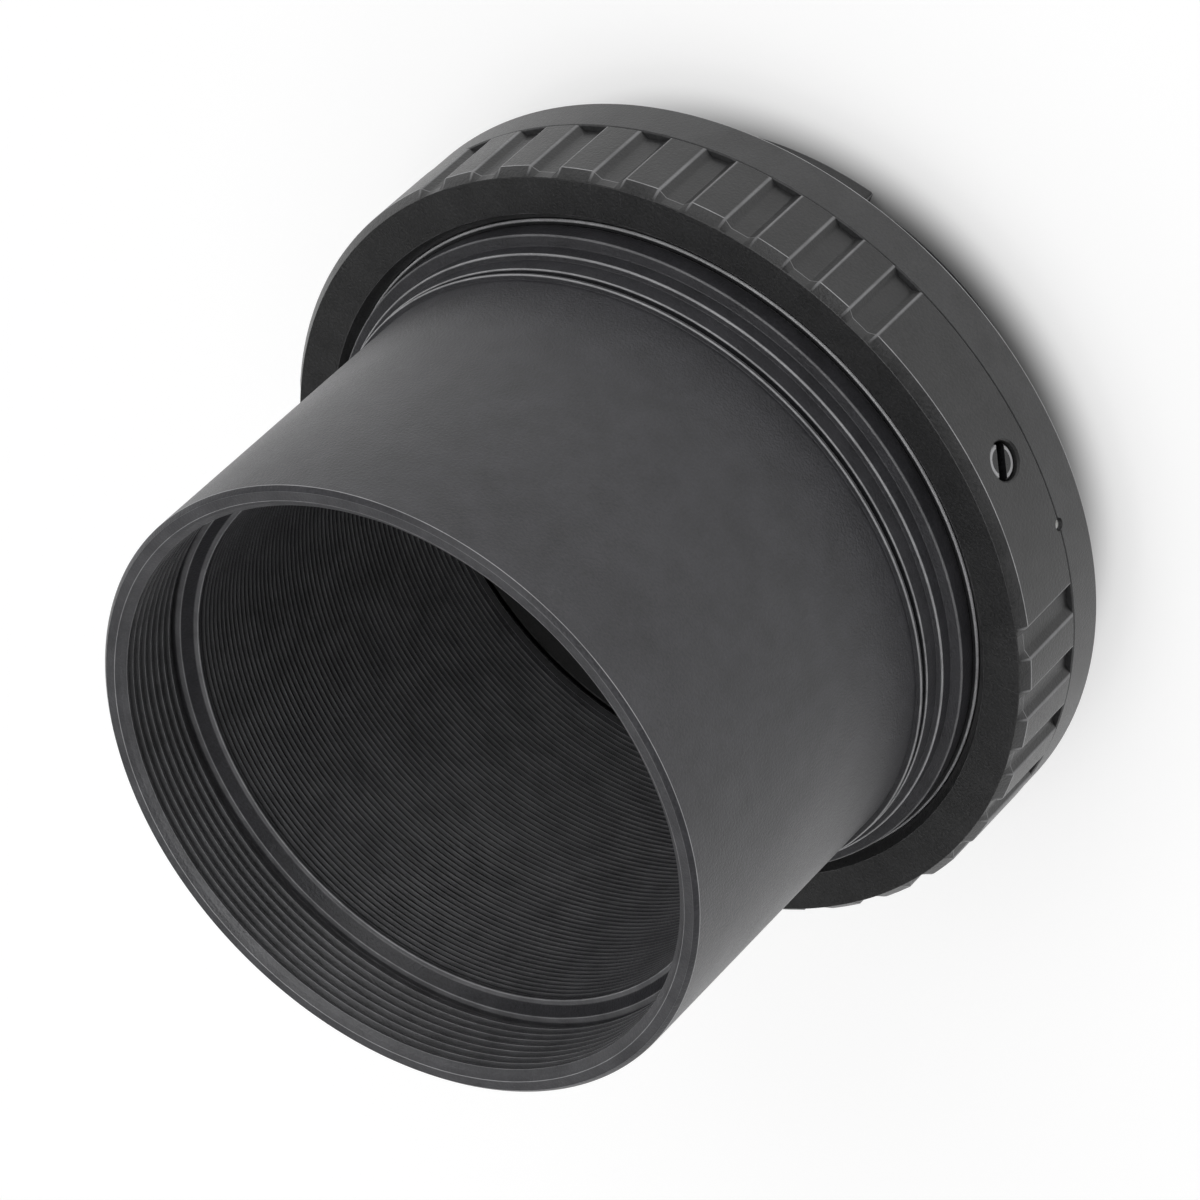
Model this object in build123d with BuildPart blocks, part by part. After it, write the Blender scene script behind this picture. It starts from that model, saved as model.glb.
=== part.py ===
"""Camera adapter for a telescope: a 2 inch nosepiece screwed into the turning insert of a bayonet ring.

Millimetres, Z along the light path. Z = 0 is the rear end of the bayonet tube, the nose rim is on top.
"""
import os
from math import cos, radians, sin

from build123d import *

os.makedirs("parts", exist_ok=True)

# Nosepiece barrel
NOSE_RADIUS = 25.4
NOSE_LENGTH = 29.85
BORE_RADIUS = 22.3
BORE_LIP_WIDTH = 0.35
MOUTH_LAND_RADIUS = 23.3
MOUTH_CONE_LENGTH = 0.85
SHOULDER_RADIUS = 25.85
SHOULDER_WIDTH = 0.3
RELIEF_WIDTH = 0.45
RELIEF_DEPTH = 0.75
HUB_RADIUS = 25.9
HUB_LENGTH = 1.35
COLLAR_RADIUS = 26.4
COLLAR_LENGTH = 1.15
BARREL_FLANGE_RADIUS = 27.35
BARREL_FLANGE_THICKNESS = 1.55
RIM_CHAMFER = 0.35
EDGE_BREAK = 0.12

# M48 x 0.75 thread, used in the mouth of the barrel and between barrel and insert
THREAD_RADIUS = 24.0
THREAD_PITCH = 0.75
THREAD_DEPTH = 0.4
THREAD_CREST = 0.2
FILTER_TURNS = 8
FILTER_LEAD_IN = 0.3
FILTER_RELIEF_LENGTH = 0.5
FILTER_RELIEF_DEPTH = 0.15
JOINT_TURNS = 5
THREAD_RUNOUT = 0.4

# Thread insert
INSERT_WALL = 3.75
INSERT_SETBACK = 0.5
INSERT_TURNS = 8
V_GROOVE_DEPTH = 1.0

# Grip ring
RING_RADIUS = 32.05
RING_LENGTH = 7.1
FACE_CHAMFER_RADIAL = 0.6
FACE_CHAMFER_AXIAL = 0.8
MOUTH_CHAMFER = 0.7
SEAM_CHAMFER = 0.12
GRIP_GROUPS = 3
GRIP_GROOVES = 8
GRIP_PITCH = 10.0
GRIP_GAP_ANGLE = -112.5
GRIP_WIDTH = 2.0
GRIP_WALL_RUN = 0.5
GRIP_DEPTH = 0.55

# Bayonet mount
MOUNT_RADIUS = 32.0
MOUNT_THICKNESS = 4.35
MOUNT_CHAMFER = 1.0
TUBE_RADIUS = 25.2
TUBE_LENGTH = 6.4
THROAT_RADIUS = 24.1
LUG_RADIUS = 26.95
LUG_THICKNESS = 1.6
LUG_SETBACK = 0.8
LUG_COUNT = 3
LUG_ANGLE = 50.0
LUG_START = -73.2
LOCK_SLOT_LENGTH = 3.4
LOCK_SLOT_WIDTH = 2.4
LOCK_SLOT_DEPTH = 2.2
LOCK_SLOT_ANGLE = -35.5
INDEX_ANGLE = -126.2
INDEX_RADIUS = 0.5

# Set screws that hold the insert
SET_SCREW_RADIUS = 1.5
SET_SCREW_LENGTH = 4.6
SET_SCREW_HEIGHT = 3.05
SET_SCREW_START = -113.5
SET_SCREW_PITCH = 0.5
SET_SCREW_CREST = 0.1
SCREW_TIP_RADIUS = 0.15
SLOT_WIDTH = 0.7
SLOT_DEPTH = 0.8
SLOT_ANGLES = (-31.0, 24.0, 68.0)

# Flange screws that hold the mount to the grip ring
FLANGE_SCREW_RADIUS = 0.8
FLANGE_SCREW_CIRCLE = 29.3
FLANGE_SCREW_COUNT = 4
FLANGE_SCREW_START = -67.5
FLANGE_SCREW_BITE = 3.0
FLANGE_HEAD_RADIUS = 1.45

# Fits
RUNNING_CLEARANCE = 0.05
SEAT_CLEARANCE = 0.05
SCREW_CLEARANCE = 0.02
TIP_CLEARANCE = 0.35

# Levels along Z
flange_plane = TUBE_LENGTH
seam = flange_plane + MOUNT_THICKNESS
ring_face = seam + RING_LENGTH
insert_face = ring_face - INSERT_SETBACK
insert_foot = seam + SEAT_CLEARANCE
barrel_seat = insert_face + SEAT_CLEARANCE
flange_top = barrel_seat + BARREL_FLANGE_THICKNESS
collar_top = flange_top + COLLAR_LENGTH
hub_top = collar_top + HUB_LENGTH
relief_top = hub_top + RELIEF_WIDTH
nose_foot = relief_top + SHOULDER_WIDTH
nose_rim = nose_foot + NOSE_LENGTH
barrel_foot = barrel_seat - JOINT_TURNS * THREAD_PITCH - 2 * THREAD_RUNOUT
screw_level = seam + SET_SCREW_HEIGHT

# Radii that follow from a mating part
insert_radius = THREAD_RADIUS + INSERT_WALL
ring_bore = insert_radius + RUNNING_CLEARANCE
male_crest = THREAD_RADIUS - RUNNING_CLEARANCE
male_root = male_crest - THREAD_DEPTH
insert_root = THREAD_RADIUS + THREAD_DEPTH
v_groove_floor = insert_radius - V_GROOVE_DEPTH
relief_radius = SHOULDER_RADIUS - RELIEF_DEPTH


def ridges(root, crest, start, turns, pitch, flat):
    """Points of a run of thread ridges with flat crests, starting and ending on the root."""
    points = [(root, start)]
    for turn in range(turns):
        middle = start + (turn + 0.5) * pitch
        points.append((crest, middle - flat / 2))
        points.append((crest, middle + flat / 2))
        points.append((root, start + (turn + 1) * pitch))
    return points


def radial(angle, distance, height):
    """Point at a distance from the axis."""
    return (distance * cos(radians(angle)), distance * sin(radians(angle)), height)


# Nosepiece barrel: rim, filter thread, bore, joint thread, flange, hub and relief groove
filter_foot = nose_rim - FILTER_LEAD_IN - FILTER_TURNS * THREAD_PITCH
filter_relief = THREAD_RADIUS + FILTER_RELIEF_DEPTH
filter_crest = THREAD_RADIUS - THREAD_DEPTH
filter_thread = ridges(THREAD_RADIUS, filter_crest, filter_foot, FILTER_TURNS, THREAD_PITCH, THREAD_CREST)
land = filter_foot - FILTER_RELIEF_LENGTH
bore_lip = land - MOUTH_CONE_LENGTH
thread_start = barrel_foot + THREAD_RUNOUT
joint_thread = ridges(male_root, male_crest, thread_start, JOINT_TURNS, THREAD_PITCH, THREAD_CREST)
with BuildPart() as nosepiece_barrel:
    with BuildSketch(Plane.XZ):
        with BuildLine():
            Polyline(
                (THREAD_RADIUS + FILTER_LEAD_IN, nose_rim),
                *reversed(filter_thread),
                (filter_relief, filter_foot - FILTER_RELIEF_DEPTH),
                (filter_relief, land),
                (MOUTH_LAND_RADIUS, land),
                (BORE_RADIUS + BORE_LIP_WIDTH, bore_lip),
                (BORE_RADIUS + EDGE_BREAK, bore_lip),
                (BORE_RADIUS, bore_lip - EDGE_BREAK),
                (BORE_RADIUS, barrel_foot),
                (male_root - 0.2, barrel_foot),
                *joint_thread,
                (male_root, barrel_seat),
                (BARREL_FLANGE_RADIUS, barrel_seat),
                (BARREL_FLANGE_RADIUS, flange_top - EDGE_BREAK),
                (BARREL_FLANGE_RADIUS - EDGE_BREAK, flange_top),
                (COLLAR_RADIUS, flange_top),
                (COLLAR_RADIUS, collar_top - EDGE_BREAK),
                (COLLAR_RADIUS - EDGE_BREAK, collar_top),
                (HUB_RADIUS, collar_top),
                (HUB_RADIUS, hub_top - EDGE_BREAK),
                (HUB_RADIUS - EDGE_BREAK, hub_top),
                (relief_radius, hub_top),
                (relief_radius, relief_top),
                (SHOULDER_RADIUS, relief_top),
                (SHOULDER_RADIUS, nose_foot - EDGE_BREAK),
                (SHOULDER_RADIUS - EDGE_BREAK, nose_foot),
                (NOSE_RADIUS, nose_foot),
                (NOSE_RADIUS, nose_rim - RIM_CHAMFER),
                (NOSE_RADIUS - RIM_CHAMFER, nose_rim),
                close=True,
            )
        make_face()
    revolve(axis=Axis.Z)
nosepiece_barrel.part.label = "nosepiece_barrel"
export_step(nosepiece_barrel.part, "parts/nosepiece_barrel.step")

# Thread insert: threaded ring with a V groove for the set screws
insert_run = INSERT_TURNS * THREAD_PITCH
insert_start = (insert_foot + insert_face - insert_run) / 2
insert_thread = ridges(insert_root, THREAD_RADIUS, insert_start, INSERT_TURNS, THREAD_PITCH, THREAD_CREST)
with BuildPart() as thread_insert:
    with BuildSketch(Plane.XZ):
        with BuildLine():
            Polyline(
                (insert_root, insert_foot),
                *insert_thread,
                (insert_root, insert_face),
                (insert_radius - 0.15, insert_face),
                (insert_radius, insert_face - 0.15),
                (insert_radius, screw_level + V_GROOVE_DEPTH),
                (v_groove_floor, screw_level),
                (insert_radius, screw_level - V_GROOVE_DEPTH),
                (insert_radius, insert_foot),
                close=True,
            )
        make_face()
    revolve(axis=Axis.Z)
thread_insert.part.label = "thread_insert"
export_step(thread_insert.part, "parts/thread_insert.step")

# Grip ring: grooved outside, three set screw holes, four blind holes for the flange screws
with BuildPart() as grip_ring:
    with BuildSketch(Plane.XZ):
        with BuildLine():
            Polyline(
                (ring_bore, seam),
                (RING_RADIUS - SEAM_CHAMFER, seam),
                (RING_RADIUS, seam + SEAM_CHAMFER),
                (RING_RADIUS, ring_face - FACE_CHAMFER_AXIAL),
                (RING_RADIUS - FACE_CHAMFER_RADIAL, ring_face),
                (ring_bore + MOUTH_CHAMFER, ring_face),
                (ring_bore, ring_face - MOUTH_CHAMFER),
                close=True,
            )
        make_face()
    revolve(axis=Axis.Z)
    groove_mouth = GRIP_WIDTH / 2 + GRIP_WALL_RUN
    groove_floor = GRIP_WIDTH / 2 - GRIP_WALL_RUN
    groove_section = [
        (GRIP_DEPTH, -groove_mouth),
        (GRIP_DEPTH, groove_mouth),
        (-GRIP_DEPTH, groove_floor),
        (-GRIP_DEPTH, -groove_floor),
    ]
    for group in range(GRIP_GROUPS):
        span = (GRIP_GROOVES - 1) * GRIP_PITCH
        group_start = GRIP_GAP_ANGLE + (group + 0.5) * 360 / GRIP_GROUPS - span / 2
        with BuildSketch(Plane.XY.offset(seam)):
            with PolarLocations(RING_RADIUS, GRIP_GROOVES, group_start, span, endpoint=True):
                Polygon(*groove_section)
        extrude(amount=RING_LENGTH, mode=Mode.SUBTRACT)
    for group in range(GRIP_GROUPS):
        angle = SET_SCREW_START + group * 360 / GRIP_GROUPS
        hole_mouth = Plane(origin=radial(angle, RING_RADIUS, screw_level), z_dir=radial(angle, 1, 0))
        with BuildSketch(hole_mouth):
            Circle(SET_SCREW_RADIUS)
        extrude(amount=ring_bore - RING_RADIUS - 1, mode=Mode.SUBTRACT)
    with BuildSketch(Plane.XY.offset(seam)):
        with PolarLocations(FLANGE_SCREW_CIRCLE, FLANGE_SCREW_COUNT, FLANGE_SCREW_START):
            Circle(FLANGE_SCREW_RADIUS + SCREW_CLEARANCE)
    extrude(amount=FLANGE_SCREW_BITE + 0.3, mode=Mode.SUBTRACT)
    with Locations(radial(INDEX_ANGLE, RING_RADIUS, seam)):
        Sphere(INDEX_RADIUS, mode=Mode.SUBTRACT)
grip_ring.part.label = "grip_ring"
export_step(grip_ring.part, "parts/grip_ring.step")

# Bayonet mount: flanged ring, tube and lugs, countersunk holes and the slot for the camera's lock pin
with BuildPart() as bayonet_mount:
    with BuildSketch(Plane.XZ):
        with BuildLine():
            Polyline(
                (THROAT_RADIUS + 0.3, 0),
                (TUBE_RADIUS - 0.3, 0),
                (TUBE_RADIUS, 0.3),
                (TUBE_RADIUS, flange_plane),
                (MOUNT_RADIUS - MOUNT_CHAMFER, flange_plane),
                (MOUNT_RADIUS, flange_plane + MOUNT_CHAMFER),
                (MOUNT_RADIUS, seam - SEAM_CHAMFER),
                (MOUNT_RADIUS - SEAM_CHAMFER, seam),
                (THROAT_RADIUS, seam),
                (THROAT_RADIUS, 0.3),
                close=True,
            )
        make_face()
    revolve(axis=Axis.Z)
    for lug in range(LUG_COUNT):
        angle = LUG_START + lug * 360 / LUG_COUNT
        lug_plane = Plane(origin=(0, 0, 0), x_dir=radial(angle, 1, 0), z_dir=radial(angle - 90, 1, 0))
        with BuildSketch(lug_plane):
            with BuildLine():
                Polyline(
                    (TUBE_RADIUS - 0.3, LUG_SETBACK),
                    (LUG_RADIUS - 0.25, LUG_SETBACK),
                    (LUG_RADIUS, LUG_SETBACK + 0.25),
                    (LUG_RADIUS, LUG_SETBACK + LUG_THICKNESS),
                    (TUBE_RADIUS - 0.3, LUG_SETBACK + LUG_THICKNESS),
                    close=True,
                )
            make_face()
        revolve(axis=Axis.Z, revolution_arc=LUG_ANGLE)
    with BuildSketch(Plane.XY.offset(flange_plane)):
        with PolarLocations(FLANGE_SCREW_CIRCLE, FLANGE_SCREW_COUNT, FLANGE_SCREW_START):
            Circle(FLANGE_SCREW_RADIUS + SCREW_CLEARANCE)
    extrude(amount=MOUNT_THICKNESS, mode=Mode.SUBTRACT)
    head_depth = FLANGE_HEAD_RADIUS - FLANGE_SCREW_RADIUS
    with BuildSketch(Plane.XY.offset(flange_plane)):
        with PolarLocations(FLANGE_SCREW_CIRCLE, FLANGE_SCREW_COUNT, FLANGE_SCREW_START):
            Circle(FLANGE_HEAD_RADIUS + SCREW_CLEARANCE)
    extrude(amount=head_depth, taper=45, mode=Mode.SUBTRACT)
    with BuildSketch(Plane.XY.offset(flange_plane)):
        with PolarLocations(FLANGE_SCREW_CIRCLE, 1, LOCK_SLOT_ANGLE):
            SlotOverall(LOCK_SLOT_LENGTH, LOCK_SLOT_WIDTH, rotation=90)
    extrude(amount=LOCK_SLOT_DEPTH, mode=Mode.SUBTRACT)
    with Locations(radial(INDEX_ANGLE, RING_RADIUS, seam)):
        Sphere(INDEX_RADIUS, mode=Mode.SUBTRACT)
bayonet_mount.part.label = "bayonet_mount"
export_step(bayonet_mount.part, "parts/bayonet_mount.step")

# Set screws: slotted grub screws with a cone point, each with its own slot direction
screw_tip = v_groove_floor + TIP_CLEARANCE
shank_radius = SET_SCREW_RADIUS - RUNNING_CLEARANCE
shank_root = shank_radius - 0.2
point_length = shank_root - SCREW_TIP_RADIUS
screw_turns = int((SET_SCREW_LENGTH - point_length) / SET_SCREW_PITCH - 0.4)
shank_thread = ridges(shank_root, shank_radius, point_length, screw_turns, SET_SCREW_PITCH, SET_SCREW_CREST)
for index, slot_angle in enumerate(SLOT_ANGLES):
    angle = SET_SCREW_START + index * 360 / GRIP_GROUPS
    tip = radial(angle, screw_tip, screw_level)
    screw_side = Plane(origin=tip, x_dir=(0, 0, 1), z_dir=radial(angle + 90, 1, 0))
    screw_end = Plane(
        origin=radial(angle, screw_tip + SET_SCREW_LENGTH, screw_level),
        x_dir=radial(angle + 90, 1, 0),
        z_dir=radial(angle, 1, 0),
    )
    with BuildPart() as set_screw:
        with BuildSketch(screw_side):
            with BuildLine():
                Polyline(
                    (0, 0),
                    (SCREW_TIP_RADIUS, 0),
                    *shank_thread,
                    (shank_root, SET_SCREW_LENGTH),
                    (0, SET_SCREW_LENGTH),
                    close=True,
                )
            make_face()
        revolve(axis=Axis(tip, radial(angle, 1, 0)))
        with BuildSketch(screw_end):
            Rectangle(3 * SET_SCREW_RADIUS, SLOT_WIDTH, rotation=slot_angle)
        extrude(amount=-SLOT_DEPTH, mode=Mode.SUBTRACT)
    set_screw.part.label = f"set_screw_{index + 1}"
    export_step(set_screw.part, f"parts/set_screw_{index + 1}.step")

# Flange screws: countersunk, cross recess, flush with the flange plane
for index in range(FLANGE_SCREW_COUNT):
    angle = FLANGE_SCREW_START + index * 360 / FLANGE_SCREW_COUNT
    foot = radial(angle, FLANGE_SCREW_CIRCLE, flange_plane)
    head_face = Plane(origin=foot, x_dir=radial(angle, 1, 0), z_dir=(0, 0, 1))
    screw_side = Plane(origin=foot, x_dir=radial(angle, 1, 0), z_dir=radial(angle - 90, 1, 0))
    with BuildPart() as flange_screw:
        with BuildSketch(screw_side):
            with BuildLine():
                Polyline(
                    (0, 0.05),
                    (FLANGE_HEAD_RADIUS - 0.05, 0.05),
                    (FLANGE_SCREW_RADIUS, head_depth),
                    (FLANGE_SCREW_RADIUS, MOUNT_THICKNESS + FLANGE_SCREW_BITE),
                    (0, MOUNT_THICKNESS + FLANGE_SCREW_BITE),
                    close=True,
                )
            make_face()
        revolve(axis=Axis(foot, (0, 0, 1)))
        with BuildSketch(head_face):
            Rectangle(1.7, 0.35, rotation=45)
            Rectangle(1.7, 0.35, rotation=-45)
        extrude(amount=0.5, mode=Mode.SUBTRACT)
    flange_screw.part.label = f"flange_screw_{index + 1}"
    export_step(flange_screw.part, f"parts/flange_screw_{index + 1}.step")
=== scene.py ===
"""Looks for the two-inch nosepiece camera adapter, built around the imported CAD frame."""
import math

import bmesh
import bpy
from mathutils import Matrix, Vector


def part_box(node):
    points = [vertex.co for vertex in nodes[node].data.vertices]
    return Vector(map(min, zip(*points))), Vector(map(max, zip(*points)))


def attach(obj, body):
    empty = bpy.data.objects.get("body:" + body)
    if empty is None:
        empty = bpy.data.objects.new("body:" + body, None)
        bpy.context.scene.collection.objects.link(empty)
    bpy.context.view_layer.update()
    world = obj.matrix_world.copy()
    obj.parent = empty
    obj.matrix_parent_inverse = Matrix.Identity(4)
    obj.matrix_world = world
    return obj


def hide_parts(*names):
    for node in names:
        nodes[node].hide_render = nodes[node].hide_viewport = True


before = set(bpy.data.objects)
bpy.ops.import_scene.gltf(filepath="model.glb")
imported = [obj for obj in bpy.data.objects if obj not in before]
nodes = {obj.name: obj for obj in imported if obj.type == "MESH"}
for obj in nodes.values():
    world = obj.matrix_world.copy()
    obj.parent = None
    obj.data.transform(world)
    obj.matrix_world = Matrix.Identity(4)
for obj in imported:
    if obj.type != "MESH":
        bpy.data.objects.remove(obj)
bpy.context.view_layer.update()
MM = 0.001
# The light colour that the wear marks mix in: bare aluminium on worn edges, also used for painted highlight lines
# along edges and painted light on faces inside the bore.
ALUMINIUM_AND_HIGHLIGHT = (0.42, 0.42, 0.43)
# The white of the dot in the index dimple's bottom: a painted highlight standing in for the dimple's glint.
PAINTED_GLINT = (0.8, 0.8, 0.78)
FLOOR_GLOW = 0.66
THROAT_SHADE = (0.0245, 0.030)
TENT = ((0.0, 0.42), (0.12, 0.36), (0.28, 0.08), (0.42, 0.03), (0.82, 0.03), (0.92, 0.85), (1.0, 1.0))
TENT_STRENGTH = 2.8
SOFTBOX = (-52, 40)
SOFTBOX_LEVEL = 0.85
SOFTBOX_RIM = (22, 8)


def reach(node):
    """Outer radius, lowest and highest level of a turned CAD node, in millimetres."""
    low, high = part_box(node)
    return max(high.x, high.y, -low.x, -low.y) / MM, low.z / MM, high.z / MM


# ---------------------------------------------------------------- shapes
def rounded(corners, arc_steps=3):
    """Rounds a closed profile's (radius, height, rounding, wear, bare) corners, and gives (point, wear) pairs.

    The middle of an outside corner's arc carries its wear, 1 unless given, and its ends its bareness, 0 unless
    given. Wear lightens rounded edges, as real wear and as painted highlight lines; bareness lightens whole faces,
    as bare metal and as painted light.
    """
    count = len(corners)
    area = sum(
        corners[i][0] * corners[(i + 1) % count][1] - corners[(i + 1) % count][0] * corners[i][1]
        for i in range(count)
    )
    points = []
    for i, (r, z, rounding, *given) in enumerate(corners):
        here = Vector((r, z))
        before = Vector(corners[i - 1][:2]) - here
        after = Vector(corners[(i + 1) % count][:2]) - here
        outside = before.cross(after) * area < 0
        bare_and_lit = given[1] if len(given) > 1 else 0.0
        wear_and_light = max(bare_and_lit, (given[0] if given else 1.0) if outside else 0.0)
        room = 0.45 * min(before.length, after.length)
        before.normalize()
        after.normalize()
        half = before.angle(after) / 2
        if rounding == 0 or half > math.radians(88):
            points.append((here, bare_and_lit))
            continue
        pull = min(rounding / math.tan(half), room)
        bend = pull * math.tan(half)
        centre = here + (before + after).normalized() * (bend / math.sin(half))
        start = here + before * pull - centre
        end = here + after * pull - centre
        turn = start.angle_signed(end)
        for step in range(arc_steps + 1):
            spoke = Matrix.Rotation(-turn * step / arc_steps, 2) @ start
            points.append((centre + spoke, wear_and_light if 0 < step < arc_steps else bare_and_lit))
    return points


def mesh_object(name, verts, faces, wear_and_light=None):
    """A smooth-shaded object with its normals outward and, if given, a wear value for each vertex, which marks
    real wear and also painted highlight and painted light.
    """
    mesh = bpy.data.meshes.new(name)
    mesh.from_pydata(verts, [], faces)
    if wear_and_light:
        mesh.attributes.new("wear_and_light", "FLOAT", "POINT").data.foreach_set("value", wear_and_light)
    obj = bpy.data.objects.new(name, mesh)
    bpy.context.scene.collection.objects.link(obj)
    editor = bmesh.new()
    editor.from_mesh(mesh)
    bmesh.ops.recalc_face_normals(editor, faces=editor.faces)
    editor.to_mesh(mesh)
    editor.free()
    for polygon in mesh.polygons:
        polygon.use_smooth = True
    return obj


def turned(name, corners, steps=288, shape=None, angles=None):
    """A turned ring from a closed profile. shape(angle, r, wear) may change the radius and the wear value, with
    its painted highlight and painted light, at an angle.
    """
    profile = rounded(corners)
    if angles is None:
        angles = [math.tau * i / steps for i in range(steps)]
    verts, worn_and_lit = [], []
    for angle in angles:
        for point, wear_and_light in profile:
            r, w = shape(angle, point.x, wear_and_light) if shape else (point.x, wear_and_light)
            verts.append((r * math.cos(angle) * MM, r * math.sin(angle) * MM, point.y * MM))
            worn_and_lit.append(w)
    rows = len(profile)
    columns = len(angles)
    faces = []
    for c in range(columns):
        d = (c + 1) % columns
        for k in range(rows):
            m = (k + 1) % rows
            faces.append((c * rows + k, d * rows + k, d * rows + m, c * rows + m))
    return mesh_object(name, verts, faces, worn_and_lit)


def even_shading(obj, sharp=38):
    """Keeps large faces flat-shaded in tone while their rounded edges stay smooth."""
    obj.data.set_sharp_from_angle(angle=math.radians(sharp))
    weigh = obj.modifiers.new("even", "WEIGHTED_NORMAL")
    weigh.keep_sharp = True
    weigh.weight = 90


def spot(position):
    """A position rounded so that a vertex can be found again after a cut."""
    return tuple(round(c, 7) for c in position)


def cut(obj, cutters, mode="DIFFERENCE"):
    """Cuts or joins, then gives every vertex that was there before its wear value (wear, painted highlight and
    painted light) again, and paints a white painted highlight into the bottom of the index dimple.
    """
    known = {}
    for source in [obj, *cutters]:
        marks = source.data.attributes.get("wear_and_light")
        if marks:
            known.update({spot(v.co): m.value for v, m in zip(source.data.vertices, marks.data)})
    for cutter in cutters:
        step = obj.modifiers.new("cut", "BOOLEAN")
        step.operation = mode
        step.solver = "EXACT"
        step.object = cutter
    graph = bpy.context.evaluated_depsgraph_get()
    result = bpy.data.meshes.new_from_object(obj.evaluated_get(graph))
    obj.modifiers.clear()
    old = obj.data
    obj.data = result
    bpy.data.meshes.remove(old)
    for cutter in cutters:
        bpy.data.objects.remove(cutter)
    for polygon in obj.data.polygons:
        polygon.use_smooth = True
    marks = obj.data.attributes.get("wear_and_light")
    marks.data.foreach_set("value", [known.get(spot(v.co), 0.0) for v in obj.data.vertices])
    # The bottom of the index dimple gets a white painted highlight, standing in for its glint.
    inward = -polar(INDEX[0], 1, 0)
    offsets = [v.co / MM - polar(*INDEX) for v in obj.data.vertices]
    glint_dots = [float(p.length < INDEX_BALL + 0.03 and p.dot(inward) > 0.7 * INDEX_BALL) for p in offsets]
    layer = obj.data.attributes.get("paint") or obj.data.attributes.new("paint", "FLOAT", "POINT")
    layer.data.foreach_set("value", glint_dots)


def bar(name, corners, origin, axis, steps=48, wear_and_light=None):
    """A turned solid with flat ends from (radius, distance along axis) corners, and each one's wear value, which
    also carries painted highlight.
    """
    axis = Vector(axis).normalized()
    side = axis.orthogonal().normalized()
    other = axis.cross(side)
    verts = []
    for r, d in corners:
        for i in range(steps):
            angle = math.tau * i / steps
            p = Vector(origin) + axis * d + (side * math.cos(angle) + other * math.sin(angle)) * r
            verts.append(p * MM)
    faces = [tuple(range(steps))]
    for k in range(len(corners) - 1):
        for i in range(steps):
            j = (i + 1) % steps
            faces.append((k * steps + i, k * steps + j, (k + 1) * steps + j, (k + 1) * steps + i))
    faces.append(tuple(reversed(range((len(corners) - 1) * steps, len(corners) * steps))))
    worn_and_lit = wear_and_light and [w for w in wear_and_light for i in range(steps)]
    return mesh_object(name, [tuple(v) for v in verts], faces, worn_and_lit)


def polar(angle, r, z):
    """The point at an angle in degrees, a radius and a height."""
    return Vector((r * math.cos(math.radians(angle)), r * math.sin(math.radians(angle)), z))


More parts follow.
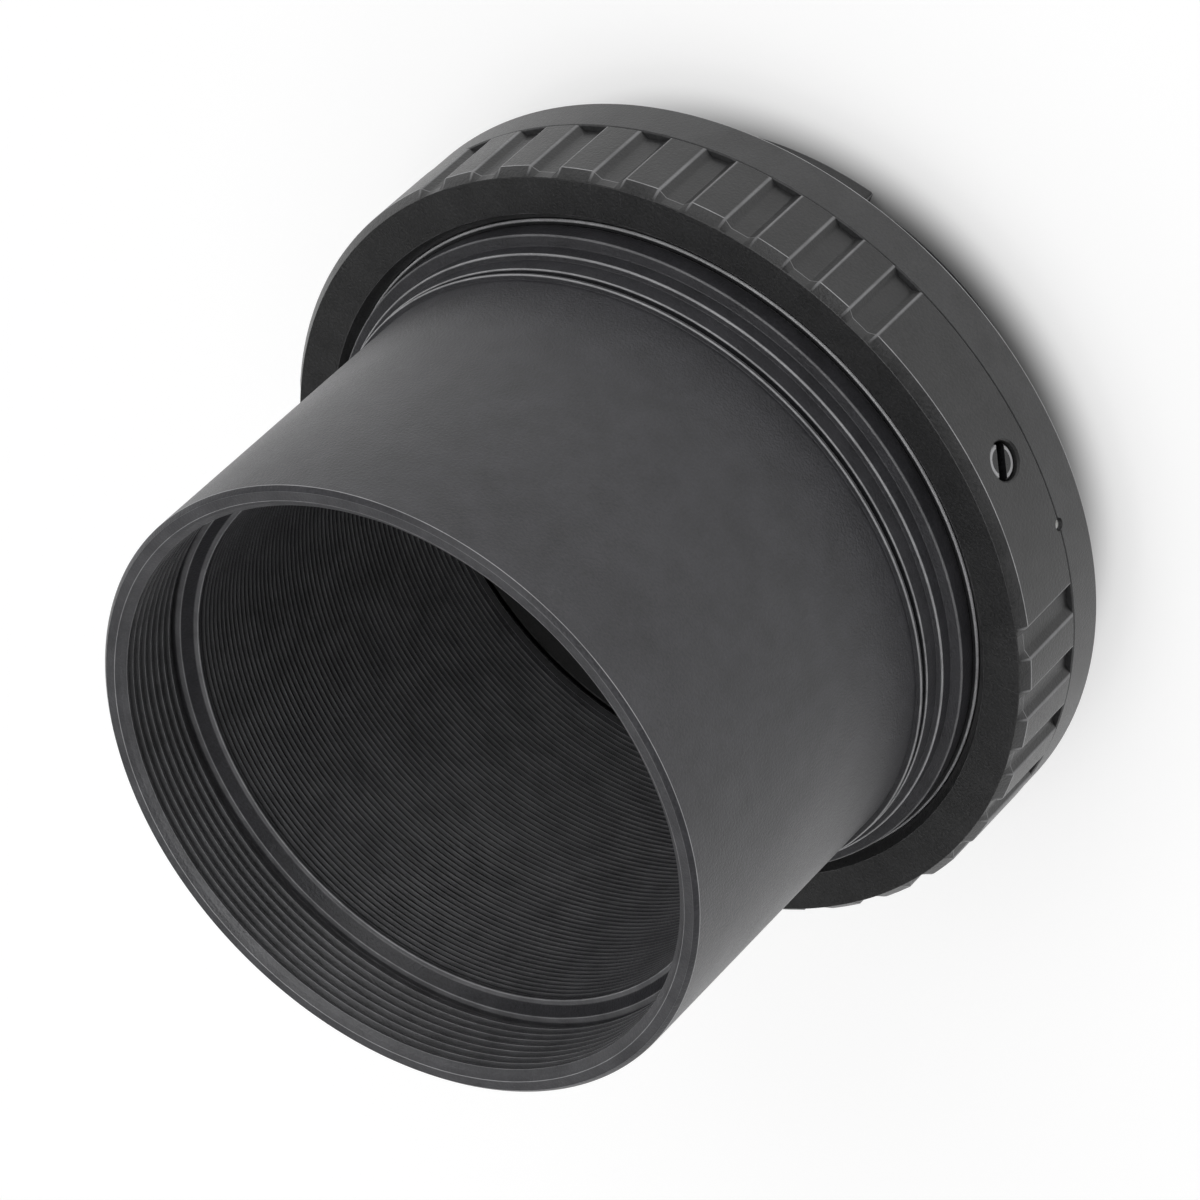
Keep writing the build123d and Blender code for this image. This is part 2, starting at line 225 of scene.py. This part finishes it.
# ---------------------------------------------------------------- materials
def anodise(name, base, rough, grain=0.2, grain_depth=0.03, wear_and_light=0.8, lines=0.0, line_depth=0.004):
    """Black anodised aluminium: blasted grain or turning lines, uneven sheen, and edges and faces lightened toward
    aluminium by the wear value, partly real wear and partly painted highlight lines and painted light.
    """
    mat = bpy.data.materials.new(name)
    mat.use_nodes = True
    tree = mat.node_tree
    new = tree.nodes.new
    link = tree.links.new
    bsdf = tree.nodes["Principled BSDF"]
    place = new("ShaderNodeTexCoord")

    def noise(scale, detail, source=None, roughness=0.55):
        n = new("ShaderNodeTexNoise")
        n.inputs["Scale"].default_value = scale
        n.inputs["Detail"].default_value = detail
        n.inputs["Roughness"].default_value = roughness
        link(source or place.outputs["Object"], n.inputs["Vector"])
        return n.outputs["Fac"]

    def remap(value, low, high, to_low, to_high):
        m = new("ShaderNodeMapRange")
        m.inputs["From Min"].default_value = low
        m.inputs["From Max"].default_value = high
        m.inputs["To Min"].default_value = to_low
        m.inputs["To Max"].default_value = to_high
        link(value, m.inputs["Value"])
        return m.outputs["Result"]

    def math_node(kind, a, b):
        m = new("ShaderNodeMath")
        m.operation = kind
        for socket, value in zip(m.inputs, (a, b)):
            if isinstance(value, (int, float)):
                socket.default_value = value
            else:
                link(value, socket)
        return m.outputs["Value"]

    fine = noise(1000 / grain, 3)
    broad = noise(90, 3)
    cloud = noise(420, 4)
    tone = new("ShaderNodeMix")
    tone.data_type = "RGBA"
    tone.inputs["A"].default_value = (*[c * 0.6 for c in base], 1)
    tone.inputs["B"].default_value = (*[c * 1.5 for c in base], 1)
    blend = math_node("ADD", math_node("MULTIPLY", fine, 0.55), math_node("MULTIPLY", cloud, 0.45))
    link(remap(blend, 0.3, 0.7, 0, 1), tone.inputs["Factor"])
    edges = new("ShaderNodeAttribute")
    edges.attribute_name = "wear_and_light"
    worn_and_lit = math_node("MULTIPLY", edges.outputs["Fac"], remap(cloud, 0.35, 0.6, 0.7, 1))
    worn_and_highlighted = new("ShaderNodeMix")
    worn_and_highlighted.data_type = "RGBA"
    link(math_node("MULTIPLY", worn_and_lit, wear_and_light), worn_and_highlighted.inputs["Factor"])
    link(tone.outputs["Result"], worn_and_highlighted.inputs["A"])
    worn_and_highlighted.inputs["B"].default_value = (*ALUMINIUM_AND_HIGHLIGHT, 1)
    # The paint attribute marks the index dimple's white dot, a painted highlight.
    dot = new("ShaderNodeAttribute")
    dot.attribute_name = "paint"
    glinted = new("ShaderNodeMix")
    glinted.data_type = "RGBA"
    link(dot.outputs["Fac"], glinted.inputs["Factor"])
    link(worn_and_highlighted.outputs["Result"], glinted.inputs["A"])
    glinted.inputs["B"].default_value = (*PAINTED_GLINT, 1)
    link(glinted.outputs["Result"], bsdf.inputs["Base Color"])
    sheen = math_node("ADD", remap(broad, 0.3, 0.7, -0.035, 0.035), remap(fine, 0.3, 0.7, -0.05, 0.05))
    polished = math_node("SUBTRACT", rough, math_node("MULTIPLY", worn_and_lit, 0.1))
    link(math_node("ADD", polished, sheen), bsdf.inputs["Roughness"])
    bump = new("ShaderNodeBump")
    bump.inputs["Strength"].default_value = 1.0
    bump.inputs["Distance"].default_value = grain_depth * MM
    link(fine, bump.inputs["Height"])
    normal = bump.outputs["Normal"]
    if lines:
        parts = new("ShaderNodeSeparateXYZ")
        link(place.outputs["Object"], parts.inputs["Vector"])
        x, y, z = (parts.outputs[k] for k in "XYZ")
        squares = math_node("ADD", math_node("MULTIPLY", x, x), math_node("MULTIPLY", y, y))
        radius = math_node("SQRT", squares, 0)
        along = new("ShaderNodeCombineXYZ")
        link(math_node("ADD", radius, z), along.inputs["X"])
        marks = new("ShaderNodeBump")
        marks.inputs["Strength"].default_value = 1.0
        marks.inputs["Distance"].default_value = line_depth * MM
        link(noise(1000 / lines, 2, along.outputs["Vector"]), marks.inputs["Height"])
        link(normal, marks.inputs["Normal"])
        normal = marks.outputs["Normal"]
    link(normal, bsdf.inputs["Normal"])
    return mat


def dress(obj, mat, body, *replaced, slot):
    """Gives a piece its finish, the body it rides on and the CAD nodes it stands for. The slot argument is not
    used.
    """
    obj.data.materials.clear()
    obj.data.materials.append(mat)
    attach(obj, body)
    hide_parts(*replaced)


barrel_finish = anodise(
    "barrel_anodise", (0.0305, 0.0302, 0.034), 0.40, grain_depth=0.045, lines=0.35, line_depth=0.0015
)
# The insert's base is darker than the other parts' as painted shade, so its thread in the cavity behind the bore
# reads black; its full wear brightens its face edge as a painted highlight.
insert_shaded_finish = anodise("insert_anodise", (0.011, 0.011, 0.012), 0.33, grain_depth=0.004, wear_and_light=1.0, lines=0.2)
ring_finish = anodise("ring_anodise", (0.021, 0.021, 0.0215), 0.38, grain=0.22, grain_depth=0.035)
mount_finish = anodise(
    "mount_anodise", (0.032, 0.032, 0.033), 0.40, grain=0.18, lines=0.25, line_depth=0.002
)
# The set screws' full wear draws their head rims as worn edges and painted highlight arcs.
screw_finish = anodise("set_screw_steel", (0.012, 0.012, 0.013), 0.3, grain=0.3, grain_depth=0.002, wear_and_light=1.0)
flange_screw_finish = anodise("flange_screw_steel", (0.07, 0.07, 0.075), 0.3, grain=0.3, grain_depth=0.004)
for name, node in nodes.items():
    finish = screw_finish if name.startswith("set_screw") else flange_screw_finish
    node.data.materials.clear()
    node.data.materials.append(finish)

# ---------------------------------------------------------------- nosepiece barrel
flange_r, barrel_foot, rim = reach("nosepiece_barrel")
insert_r, insert_foot, insert_face = reach("thread_insert")
ring_r, seam, ring_face = reach("grip_ring")
mount_r, tail, mount_top = reach("bayonet_mount")
seat = insert_face + 0.05
NOSE = 25.4
BORE = 22.3
ROOT = 24.0
CREST = 23.6
PITCH = 0.75
LEAD = 0.3
FILTER_TURNS = 8
JOINT_TURNS = 5
JOINT_ROOT = 23.55
JOINT_CREST = 23.95
RELIEF = 24.15
SHOULDER = 25.85
COLLAR = 26.4
HUB = 25.9
NECK = 25.1
thread_foot = rim - LEAD - FILTER_TURNS * PITCH
land = thread_foot - 0.5
lip = land - 0.85

# Rim, filter thread, relief, land, cone and lip. Their bareness values lighten these faces inside the mouth,
# partly as bare metal and partly as painted light.
corners = [(ROOT + LEAD, rim, 0.1, 0.9, 0.11)]
for turn in range(FILTER_TURNS):
    top = rim - LEAD - turn * PITCH
    corners += [
        (ROOT, top, 0.05, 0.3, 0.15),
        (CREST, top - 0.275, 0.06, 0.8, 0.15),
        (CREST, top - 0.475, 0.05, 0.4, 0.15),
    ]
corners += [
    (ROOT, thread_foot, 0.03, 0.0, 0.2),
    (RELIEF, thread_foot - 0.15, 0.04, 0.0, 0.2),
    (RELIEF, land, 0.06, 0.0, 0.2),
    (23.78, land, 0.02, 0.0, 0.1),
    (23.7, land, 0.02, 0.0, 0.35),
    (23.3, land, 0.1, 0.8, 0.35),
    (23.25, land - 0.1, 0.02, 0.0, 0.0),
    (BORE + 0.42, lip + 0.08, 0.02, 0.0, 0.0),
    (BORE + 0.35, lip, 0.03, 0.0, 0.35),
    (BORE, lip, 0.1, 0.9, 0.35),
    (BORE, lip - 0.2, 0.02, 0.0, 0.0),
]

# Fine ribs down the bore. Their crests carry wear and their faces bareness, which lighten the ribs as painted
# highlight and painted light.
RIB = 0.5
RIB_DEPTH = 0.16
rib_top = lip - 0.35
ribs = int((rib_top - barrel_foot - 0.5) / RIB)
for rib in range(ribs):
    level = rib_top - rib * RIB
    corners += [(BORE, level, 0.07, 0.9, 0.26), (BORE + RIB_DEPTH, level - RIB / 2, 0.06, 0.1, 0.08)]
corners += [
    (BORE, rib_top - ribs * RIB, 0.05),
    (BORE, barrel_foot, 0.12),
    (23.35, barrel_foot, 0.08),
]

# Joint thread, flange, collar, hub, relief groove and shoulder, and the nose's outer rim. Their outside edges
# carry wear, 1 unless given, which draws them as bright lines: worn edges and painted highlight.
joint_foot = barrel_foot + 0.4
for turn in range(JOINT_TURNS):
    level = joint_foot + turn * PITCH
    corners += [
        (JOINT_ROOT, level, 0.03),
        (JOINT_CREST, level + 0.275, 0.04),
        (JOINT_CREST, level + 0.475, 0.04),
    ]
corners += [
    (JOINT_ROOT, joint_foot + JOINT_TURNS * PITCH, 0.03),
    (JOINT_ROOT, seat, 0.05),
    (flange_r, seat, 0.1),
    (flange_r, seat + 1.55, 0.16, 0.35),
    (COLLAR, seat + 1.55, 0.08),
    (COLLAR, seat + 2.7, 0.16),
    (HUB, seat + 2.7, 0.06),
    (HUB, seat + 4.05, 0.13),
    (NECK, seat + 4.05, 0.05),
    (NECK, seat + 4.5, 0.05),
    (SHOULDER, seat + 4.5, 0.08),
    (SHOULDER, seat + 4.8, 0.13),
    (NOSE, seat + 4.8, 0.06),
    (NOSE, rim - 0.45, 0.02, 0.0, 0.0),
    (NOSE, rim - 0.35, 0.14, 1.0, 0.0),
    (NOSE - 0.35, rim, 0.08, 0.3, 0.0),
    (NOSE - 0.42, rim, 0.02, 0.0, 0.11),
]
barrel = turned("nosepiece_shell", corners)
even_shading(barrel)
dress(barrel, barrel_finish, "nosepiece", "nosepiece_barrel", slot="barrel_anodise")

# ---------------------------------------------------------------- thread insert
INSERT_ROOT = 24.4
INSERT_CREST = 24.0
INSERT_TURNS = 8
screw_level = seam + 3.05
corners = [
    (insert_r, insert_foot, 0.1),
    (insert_r, screw_level - 1, 0.05),
    (insert_r - 1, screw_level, 0.05),
    (insert_r, screw_level + 1, 0.05),
    # The insert's face edge carries full wear: a worn edge and a painted highlight line, brightened where the ring
    # and tube shade it.
    (insert_r, insert_face, 0.2, 1.0),
    (INSERT_ROOT, insert_face, 0.1),
]
run_top = (insert_foot + insert_face + INSERT_TURNS * PITCH) / 2
for turn in range(INSERT_TURNS):
    top = run_top - turn * PITCH
    corners += [
        (INSERT_ROOT, top, 0.03),
        (INSERT_CREST, top - 0.275, 0.04),
        (INSERT_CREST, top - 0.475, 0.04),
    ]
corners += [(INSERT_ROOT, run_top - INSERT_TURNS * PITCH, 0.03), (INSERT_ROOT, insert_foot, 0.1)]
insert = turned("insert_shell", corners, steps=240)
even_shading(insert)
dress(insert, insert_shaded_finish, "insert", "thread_insert", slot="insert_anodise")

# ---------------------------------------------------------------- grip ring
INDEX = (-126.2, ring_r, seam)
INDEX_BALL = 0.5
GAPS = (-112.5, 7.5, 127.5)
SCREWS = (-113.5, 6.5, 126.5)
GROOVE_HALF = 1.79
GROOVE_DEPTH = 0.55

# Each column is an angle and how deep the ring is cut there. The edge columns run down a groove's wall.
edge = [(-0.95, 0.0), (-0.7, 0.02), (-0.55, 0.08), (-0.42, 0.16)]
edge += [(0.3, 0.47), (0.45, 0.53), (0.65, GROOVE_DEPTH)]
columns = []
for start in GAPS:
    for middle in [start + 25 + 10 * k for k in range(8)]:
        columns += [(middle - GROOVE_HALF + a, depth) for a, depth in edge]
        columns += [(middle - 0.5, GROOVE_DEPTH), (middle, GROOVE_DEPTH), (middle + 0.5, GROOVE_DEPTH)]
        columns += [(middle + GROOVE_HALF - a, depth) for a, depth in reversed(edge)]
        columns += [(middle + 5 * k / 3, 0.0) for k in (2, 3)]
for start in GAPS:
    columns += [(start - 20 + k * 1.25, 0.0) for k in range(1, 33)]
columns = sorted({round(a % 360, 5): depth for a, depth in columns}.items())
depth_at = {round(math.radians(a), 9): depth for a, depth in columns}
bore = insert_r + 0.05
corners = [
    (bore, seam, 0.05),
    (ring_r - 0.1, seam, 0.03, 0.0),
    (ring_r, seam + 0.14, 0.08, 0.1),
    # The ring's outer edge carries full wear: a worn edge and a painted highlight line.
    (ring_r, ring_face - 0.8, 0.24, 1.0, 0.0),
    (ring_r - 0.07, ring_face - 0.7, 0.02, 0.0, 0.05),
    (ring_r - 0.6, ring_face, 0.12, 0.0, 0.0),
    (bore + 0.7, ring_face, 0.1, 0.2),
    (bore, ring_face - 0.7, 0.1, 0.4),
]


def grooved(angle, r, wear_and_light):
    """Cuts the grooves into the ring's profile, with lightly worn and highlighted edges, and half the wear and
    painted highlight on their floors.
    """
    depth = depth_at[round(angle, 9)]
    if 0 < depth < 0.1 and r > ring_r - GROOVE_DEPTH:
        wear_and_light = 0.55
    return min(r, ring_r - depth), wear_and_light if depth < 0.1 else 0.5 * wear_and_light


def dimple():
    """The index mark's cutter: a ball with a slightly flared mouth, on the seam."""
    steps = [math.radians(a) for a in range(10, 91, 10)]
    outline = [(INDEX_BALL * math.sin(a), -INDEX_BALL * math.cos(a)) for a in steps]
    outline += [(0.56, 0.08), (0.56, 0.6)]
    return bar("dimple", outline, polar(*INDEX), polar(INDEX[0], 1, 0), 24)


ring = turned("grip_shell", corners, shape=grooved, angles=[math.radians(a) for a, depth in columns])
cutters = []
for index, angle in enumerate(SCREWS):
    outline = [(1.5, -6), (1.5, -0.16), (1.62, -0.04), (1.95, 0.29), (1.95, 1)]
    cutters.append(bar(f"bore_{index}", outline, polar(angle, ring_r, screw_level), polar(angle, 1, 0)))
cut(ring, cutters + [dimple()])
even_shading(ring)
dress(ring, ring_finish, "mount_ring", "grip_ring", slot="ring_anodise")

# ---------------------------------------------------------------- set screws
SLOT_TURNS = (-31, 24, 68)
SLOT_HALF_LENGTH = 2.2
SLOT_HALF_WIDTH = 0.42
SLOT_DEPTH = 0.85
SCREW_RADIUS = 1.45
SCREW_ROOT = 1.3
SCREW_PITCH = 0.5


def slot_block(angle, slot_turn, floor):
    """The box that cuts a screw's slot, from its floor outward."""
    outward, across, upward = polar(angle, 1, 0), polar(angle + 90, 1, 0), Vector((0, 0, 1))
    turn = math.radians(slot_turn)
    along = (across * math.cos(turn) + upward * math.sin(turn)) * SLOT_HALF_LENGTH
    side = (upward * math.cos(turn) - across * math.sin(turn)) * SLOT_HALF_WIDTH
    middle = polar(angle, floor, screw_level)
    rim = [(-1, -1), (1, -1), (1, 1), (-1, 1)]
    verts = [(middle + along * a + side * b + outward * c) * MM for c in (0, 1.2) for a, b in rim]
    faces = [(0, 1, 2, 3), (4, 5, 6, 7), (0, 1, 5, 4), (1, 2, 6, 5), (2, 3, 7, 6), (3, 0, 4, 7)]
    return mesh_object("slot", [tuple(v) for v in verts], faces)


for index, (angle, slot_turn) in enumerate(zip(SCREWS, SLOT_TURNS), 1):
    node = f"set_screw_{index}"
    outward = polar(angle, 1, 0)
    spans = [Vector(v.co).dot(outward) / MM for v in nodes[node].data.vertices]
    tip, head = min(spans), max(spans)
    outline = [(0, tip, 0), (0.15, tip, 0.05), (SCREW_RADIUS, tip + 1.3, 0.05)]
    level = tip + 1.4
    while level + SCREW_PITCH < head - 0.4:
        outline += [
            (SCREW_ROOT, level, 0.03),
            (SCREW_RADIUS, level + 0.2, 0.03, 0.5),
            (SCREW_RADIUS, level + 0.3, 0.03, 0.5),
        ]
        level += SCREW_PITCH
    outline += [
        (SCREW_ROOT, level, 0.03),
        (SCREW_RADIUS, head - 0.25, 0.05),
        (SCREW_RADIUS, head - 0.2, 0.03),
        # The head's rim carries full wear and bareness: a worn edge and a painted highlight arc.
        (1.25, head, 0.08, 1.0, 1.0),
        (1.05, head, 0.02, 0.0, 1.0),
        (0.98, head, 0.02, 0.0, 0.0),
        (0, head, 0),
    ]
    profile = [(tuple(p), wear_and_light) for p, wear_and_light in rounded(outline) if p.x > 0]
    points, wear_and_light_values = zip(*profile)
    screw = bar(node + "_shell", points, (0, 0, screw_level), outward, 64, wear_and_light_values)
    cut(screw, [slot_block(angle, slot_turn, head - SLOT_DEPTH)])
    even_shading(screw)
    dress(screw, screw_finish, node, node, slot="set_screw_steel")

# ---------------------------------------------------------------- bayonet mount
FLANGE_PLANE = 6.4
TUBE = 25.2
THROAT = 24.1
LUG_RADIUS = 26.95
LUG_START = -73.2
LUG_ANGLE = 50
LUG_FOOT = 0.8
LUG_TOP = 2.4
FLANGE_SCREW_START = -67.5
SCREW_CIRCLE = 29.3
LOCK_ANGLE = -35.5
corners = [
    (THROAT, tail, 0.25),
    (TUBE, tail, 0.25),
    (TUBE, FLANGE_PLANE, 0.2),
    (mount_r - 1, FLANGE_PLANE, 0.12),
    (mount_r, FLANGE_PLANE + 1, 0.2),
    (mount_r, mount_top - 0.14, 0.08, 0.1),
    (mount_r - 0.1, mount_top, 0.03, 0.0),
    (THROAT, mount_top, 0.1),
]
mount = turned("mount_shell", corners)


def lug(index):
    """One bayonet lug: a short arc of a rounded profile, sunk into the tube, with its two ends eased."""
    sunk = TUBE - 0.4
    profile = rounded([
        (sunk, LUG_FOOT, 0), (LUG_RADIUS, LUG_FOOT, 0.25), (LUG_RADIUS, LUG_TOP, 0.1), (sunk, LUG_TOP, 0)
    ])
    verts, faces, worn_and_lit = [], [], []
    stops = [0, 0.25] + [LUG_ANGLE * k / 40 for k in range(1, 40)] + [LUG_ANGLE - 0.25, LUG_ANGLE]
    for column, stop in enumerate(stops):
        shrink = 0.12 if column in (0, len(stops) - 1) else 0
        for p, wear_and_light in profile:
            r = p.x - shrink if p.x > TUBE else p.x
            verts.append(tuple(polar(LUG_START + 120 * index + stop, r, p.y) * MM))
            worn_and_lit.append(wear_and_light)
    rows = len(profile)
    for c in range(len(stops) - 1):
        for k in range(rows):
            m = (k + 1) % rows
            faces.append((c * rows + k, (c + 1) * rows + k, (c + 1) * rows + m, c * rows + m))
    faces.append(tuple(reversed(range(rows))))
    faces.append(tuple(range((len(stops) - 1) * rows, len(stops) * rows)))
    return mesh_object(f"lug_{index}", verts, faces, worn_and_lit)


cut(mount, [lug(index) for index in range(3)], "UNION")

# Countersunk holes, and the lock pin's slot: a round bar pulled apart along the ring
cutters = [dimple()]
for index in range(4):
    outline = [(1.62, -0.5), (1.62, -0.02), (1.5, 0.05), (0.82, 0.68), (0.82, 6)]
    hole = polar(FLANGE_SCREW_START + 90 * index, SCREW_CIRCLE, FLANGE_PLANE)
    cutters.append(bar(f"sink_{index}", outline, hole, (0, 0, 1)))
lock = bar("lock", [(1.2, -0.5), (1.2, 2.2)], polar(LOCK_ANGLE, SCREW_CIRCLE, FLANGE_PLANE), (0, 0, 1))
along = polar(LOCK_ANGLE + 90, 1, 0)
for vertex in lock.data.vertices:
    offset = Vector(vertex.co) - polar(LOCK_ANGLE, SCREW_CIRCLE, 0) * MM
    vertex.co += along * MM * (0.5 if offset.dot(along) > 0 else -0.5)
cut(mount, cutters + [lock])
even_shading(mount)
dress(mount, mount_finish, "mount_ring", "bayonet_mount", slot="mount_anodise")

# ---------------------------------------------------------------- stage
# A pale floor with a little glow of its own, which fades out under the throat so that the bore stays dark
bpy.ops.mesh.primitive_plane_add(size=6, location=(0, 0, 0))
floor = bpy.context.object
floor.name = "floor"
pale = bpy.data.materials.new("pale_floor")
pale.use_nodes = True
tree = pale.node_tree
paint = tree.nodes["Principled BSDF"]
paint.inputs["Base Color"].default_value = (0.4, 0.4, 0.4, 1)
paint.inputs["Roughness"].default_value = 0.9
paint.inputs["Emission Color"].default_value = (1, 1, 1, 1)
place = tree.nodes.new("ShaderNodeTexCoord")
length = tree.nodes.new("ShaderNodeVectorMath")
length.operation = "LENGTH"
tree.links.new(place.outputs["Object"], length.inputs[0])
glow = tree.nodes.new("ShaderNodeMapRange")
glow.interpolation_type = "SMOOTHSTEP"
glow.inputs["From Min"].default_value, glow.inputs["From Max"].default_value = THROAT_SHADE
glow.inputs["To Max"].default_value = FLOOR_GLOW
tree.links.new(length.outputs["Value"], glow.inputs["Value"])
tree.links.new(glow.outputs["Result"], paint.inputs["Emission Strength"])
floor.data.materials.append(pale)

# A light tent: white overhead, dim at middle heights, brighter around the horizon, and one soft panel
world = bpy.data.worlds.new("studio")
world.use_nodes = True
tree = world.node_tree
sky = tree.nodes["Background"]
place = tree.nodes.new("ShaderNodeTexCoord")
parts = tree.nodes.new("ShaderNodeSeparateXYZ")
tree.links.new(place.outputs["Generated"], parts.inputs["Vector"])
ramp = tree.nodes.new("ShaderNodeValToRGB")
tree.links.new(parts.outputs["Z"], ramp.inputs["Fac"])
stops = ramp.color_ramp.elements
while len(stops) < len(TENT):
    stops.new(0.5)
for stop, (height, level) in zip(stops, TENT):
    stop.position = height
    stop.color = (level, level, level, 1)
heading = tree.nodes.new("ShaderNodeVectorMath")
heading.operation = "DOT_PRODUCT"
tree.links.new(place.outputs["Generated"], heading.inputs[0])
azimuth, elevation = (math.radians(a) for a in SOFTBOX)
heading.inputs[1].default_value = (
    math.cos(elevation) * math.cos(azimuth), math.cos(elevation) * math.sin(azimuth), math.sin(elevation)
)
panel = tree.nodes.new("ShaderNodeMapRange")
panel.interpolation_type = "SMOOTHSTEP"
outer, inner = (math.cos(math.radians(a)) for a in SOFTBOX_RIM)
panel.inputs["From Min"].default_value = outer
panel.inputs["From Max"].default_value = inner
tree.links.new(heading.outputs["Value"], panel.inputs["Value"])
lit = tree.nodes.new("ShaderNodeMix")
lit.data_type = "RGBA"
lit.inputs["B"].default_value = (SOFTBOX_LEVEL, SOFTBOX_LEVEL, SOFTBOX_LEVEL, 1)
tree.links.new(panel.outputs["Result"], lit.inputs["Factor"])
tree.links.new(ramp.outputs["Color"], lit.inputs["A"])
tree.links.new(lit.outputs["Result"], sky.inputs["Color"])
sky.inputs["Strength"].default_value = TENT_STRENGTH
bpy.context.scene.world = world
bpy.context.scene.view_settings.view_transform = "Standard"

# ---------------------------------------------------------------- camera
CAMERA_DISTANCE = 0.5283
CAMERA_ELEVATION = math.radians(42.04)
CAMERA_ROLL = math.radians(-133.64)
CAMERA_LENS = 215.58
AIM_HEIGHT = 0.0248
back = Vector((0, -math.cos(CAMERA_ELEVATION), math.sin(CAMERA_ELEVATION)))
level_right = Vector((1, 0, 0))
level_up = back.cross(level_right)
right = level_right * math.cos(CAMERA_ROLL) + level_up * math.sin(CAMERA_ROLL)
up = back.cross(right)
camera_data = bpy.data.cameras.new("camera")
camera_data.sensor_width = 36
camera_data.lens = CAMERA_LENS
camera_data.clip_start = 0.01
camera = bpy.data.objects.new("camera", camera_data)
bpy.context.scene.collection.objects.link(camera)
turn = Matrix((right, up, back)).transposed().to_4x4()
camera.matrix_world = Matrix.Translation(Vector((0, 0, AIM_HEIGHT)) + back * CAMERA_DISTANCE) @ turn
bpy.context.scene.camera = camera
